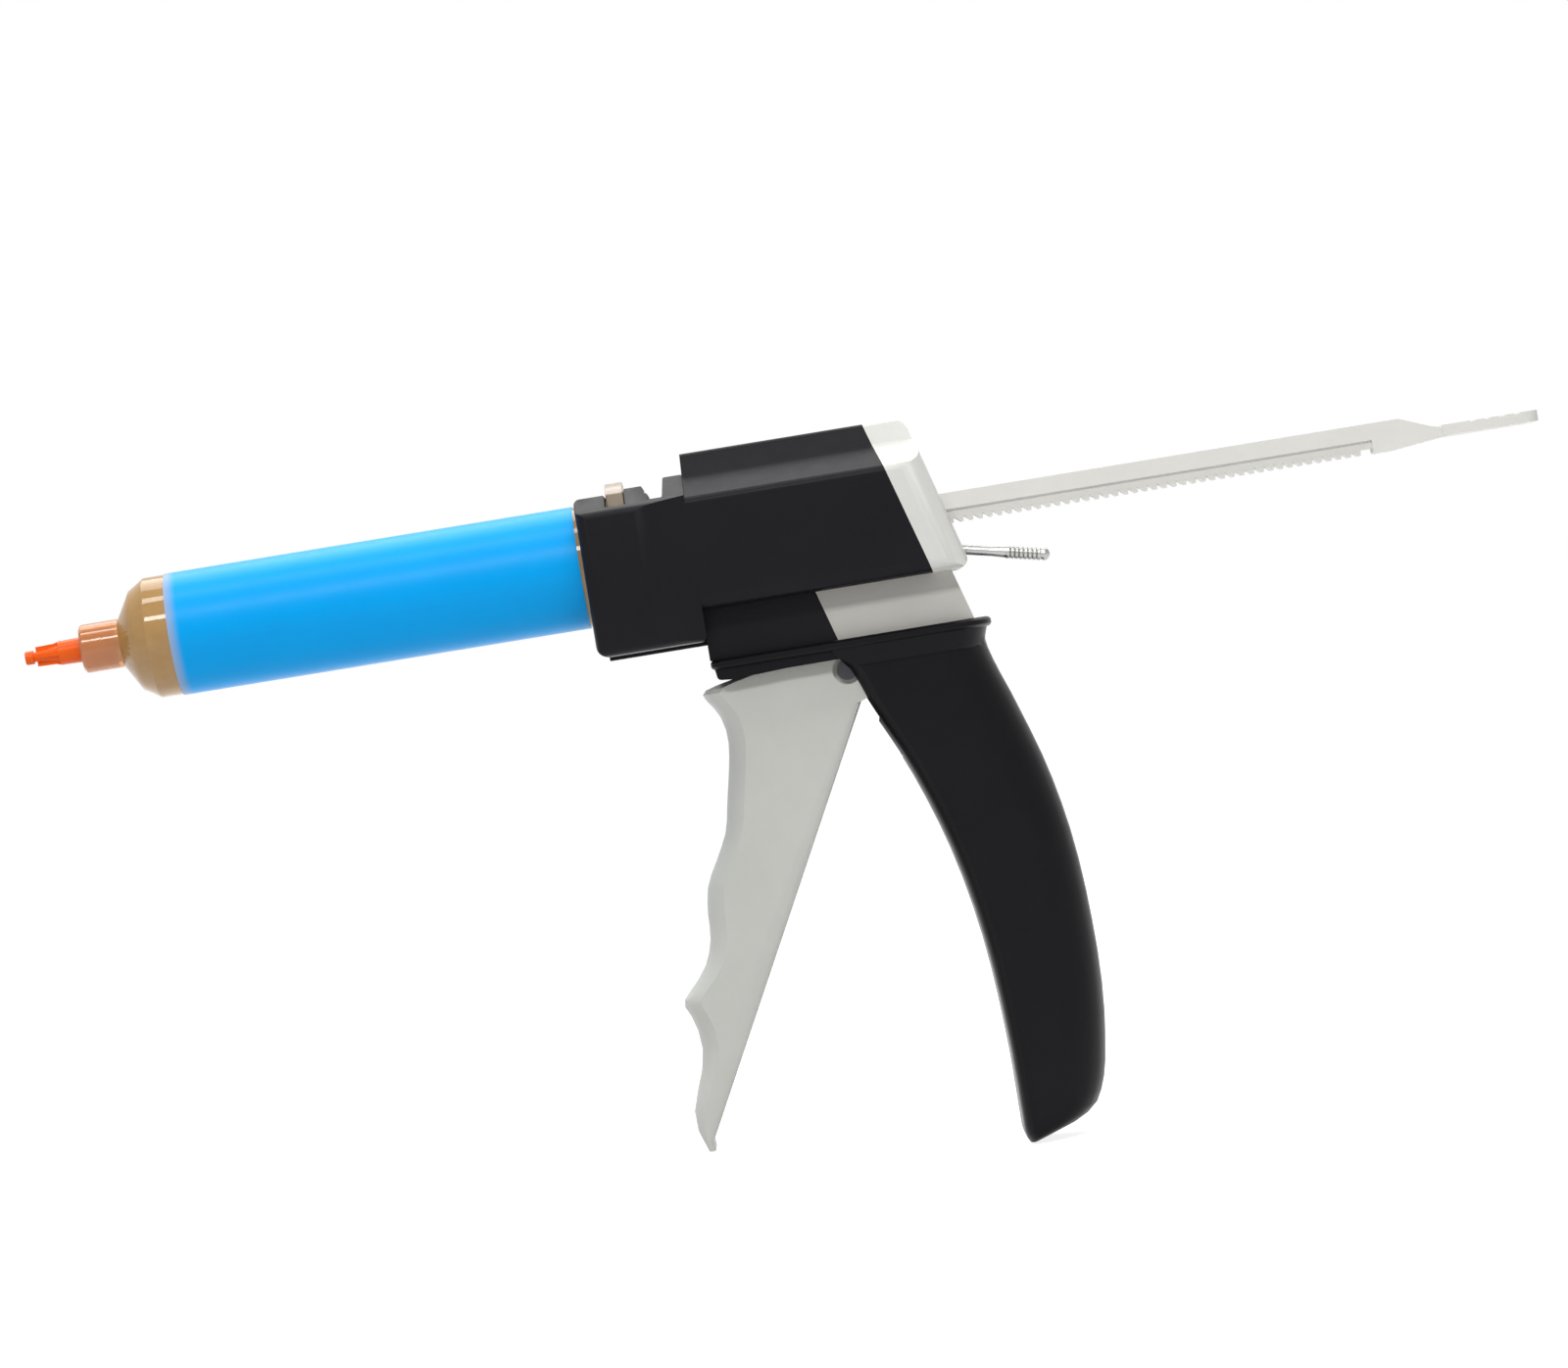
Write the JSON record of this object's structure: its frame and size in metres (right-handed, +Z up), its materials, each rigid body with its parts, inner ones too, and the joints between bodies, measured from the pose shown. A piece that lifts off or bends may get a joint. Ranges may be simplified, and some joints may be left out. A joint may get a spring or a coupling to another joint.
{
  "type": "dispensing gun",
  "caption": "Hand-held trigger gun with a toothed push rod that empties a capped, gel-filled syringe barrel clipped into its nose.",
  "frame": {"origin": "point where the barrel and rack axis crosses the plane of the housing's front face", "axes": "+X along the rack towards the user (the nozzle points along -X), +Y towards the gun's right side, +Z up with the grip hanging down"},
  "size_m": [0.312, 0.037, 0.1493],
  "materials": {
    "black_plastic": "fine textured satin black",
    "grip_black": "satin black",
    "light_grey_plastic": "satin light grey",
    "trigger_grey": "satin warm grey",
    "white_plastic": "satin off-white",
    "steel": "bright",
    "dark_steel": "blued",
    "blue_film": "semi-gloss film",
    "clear_plastic": "translucent",
    "amber_gel": "translucent gel",
    "black_rubber": "smooth",
    "orange_plastic": "translucent gloss"
  },
  "bodies": {
    "root": {"housing_left": "black_plastic", "housing_right": "black_plastic", "rear_frame": "light_grey_plastic", "grip": "grip_black", "housing_screws": "steel", "grip_screw": "steel", "pivot_pin": "dark_steel", "trigger_spring": "steel", "release_pawl_pin": "steel", "release_spring": "steel"},
    "trigger": {"trigger": "trigger_grey", "drive_pawl_pin": "steel", "drive_pawl_spring": "steel"},
    "drive_pawl": {"drive_pawl": "dark_steel"},
    "release": {"release_pawl": "dark_steel", "release_pin": "steel"},
    "rack": {"rack": "white_plastic", "pusher": "white_plastic", "pusher_screw": "steel"},
    "cartridge": {"barrel": "clear_plastic", "label_sleeve": "blue_film", "gel_column": "amber_gel", "gel_nose": "amber_gel"},
    "piston": {"piston": "white_plastic", "piston_seal": "black_rubber"},
    "tip_cap": {"tip_cap": "orange_plastic"}
  },
  "joints": [
    {"name": "trigger_squeeze", "type": "hinge", "parent": "root", "child": "trigger", "pos_m": [0.0492, 0, -0.0293], "axis": [0, -1, 0], "range_deg": [0, 22], "stiffness_Nm_per_rad": 0.8, "springref_deg": -34.38, "deforming": ["trigger_spring"]},
    {"name": "pawl_level", "type": "hinge", "parent": "trigger", "child": "drive_pawl", "pos_m": [0.05321, 0, -0.00869], "axis": [0, -1, 0], "range_deg": [-22, 0], "deforming": ["drive_pawl_spring"]},
    {"name": "release_press", "type": "hinge", "parent": "root", "child": "release", "pos_m": [0.0615, 0, -0.0082], "axis": [0, 1, 0], "range_deg": [0, 6], "stiffness_Nm_per_rad": 0.05, "springref_deg": -11.46, "deforming": ["release_spring"]},
    {"name": "rack_advance", "type": "slide", "parent": "root", "child": "rack", "axis": [-1, 0, 0], "range_m": [0, 0.074]},
    {"name": "cartridge_turn", "type": "hinge", "parent": "root", "child": "cartridge", "pos_m": [0, 0, 0], "axis": [1, 0, 0], "range_deg": [0, 90]},
    {"name": "piston_slide", "type": "slide", "parent": "cartridge", "child": "piston", "axis": [-1, 0, 0], "range_m": [0, 0.074], "deforming": ["gel_column"]},
    {"name": "cap_pull", "type": "slide", "parent": "cartridge", "child": "tip_cap", "axis": [-1, 0, 0], "range_m": [0, 0.02]}
  ],
  "couplings": [
    {"joint": "pawl_level", "follows": "trigger_squeeze", "ratio": -1},
    {"joint": "piston_slide", "follows": "rack_advance", "ratio": 1}
  ]
}
